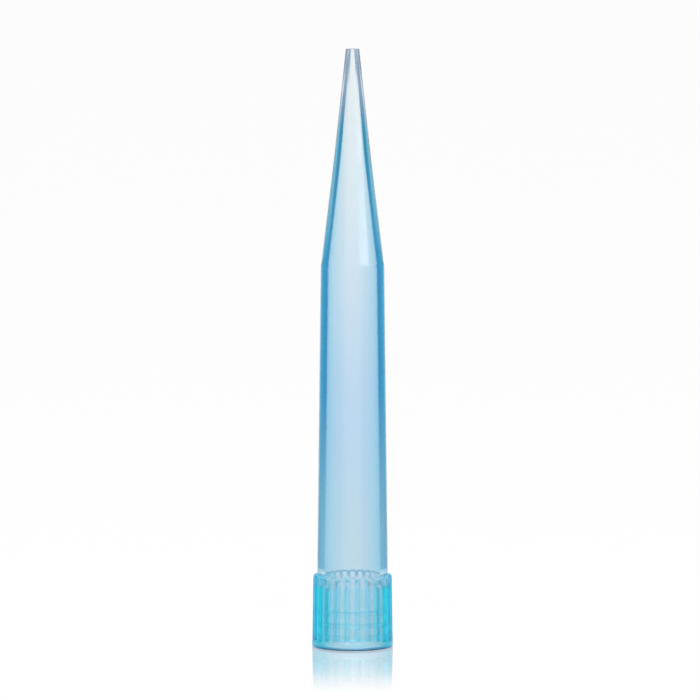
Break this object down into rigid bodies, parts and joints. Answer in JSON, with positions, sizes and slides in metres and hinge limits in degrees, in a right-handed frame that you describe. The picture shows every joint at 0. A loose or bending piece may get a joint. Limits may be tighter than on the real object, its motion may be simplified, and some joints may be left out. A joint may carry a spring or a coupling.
{
  "type": "pipette tip",
  "caption": "Blue universal pipette tip: ribbed collar with a sealing socket, drafted barrel, shoulder and a long cone that ends in a fine orifice.",
  "frame": {"origin": "centre of the mouth rim, on the plane that the tip stands on", "axes": "+Z along the tip's axis, from the mouth up to the orifice"},
  "size_m": [0.0096, 0.0096, 0.071],
  "materials": {
    "blue_polypropylene": "clear, tinted, as moulded"
  },
  "bodies": {
    "root": {"pipette_tip": "blue_polypropylene"}
  },
  "joints": []
}
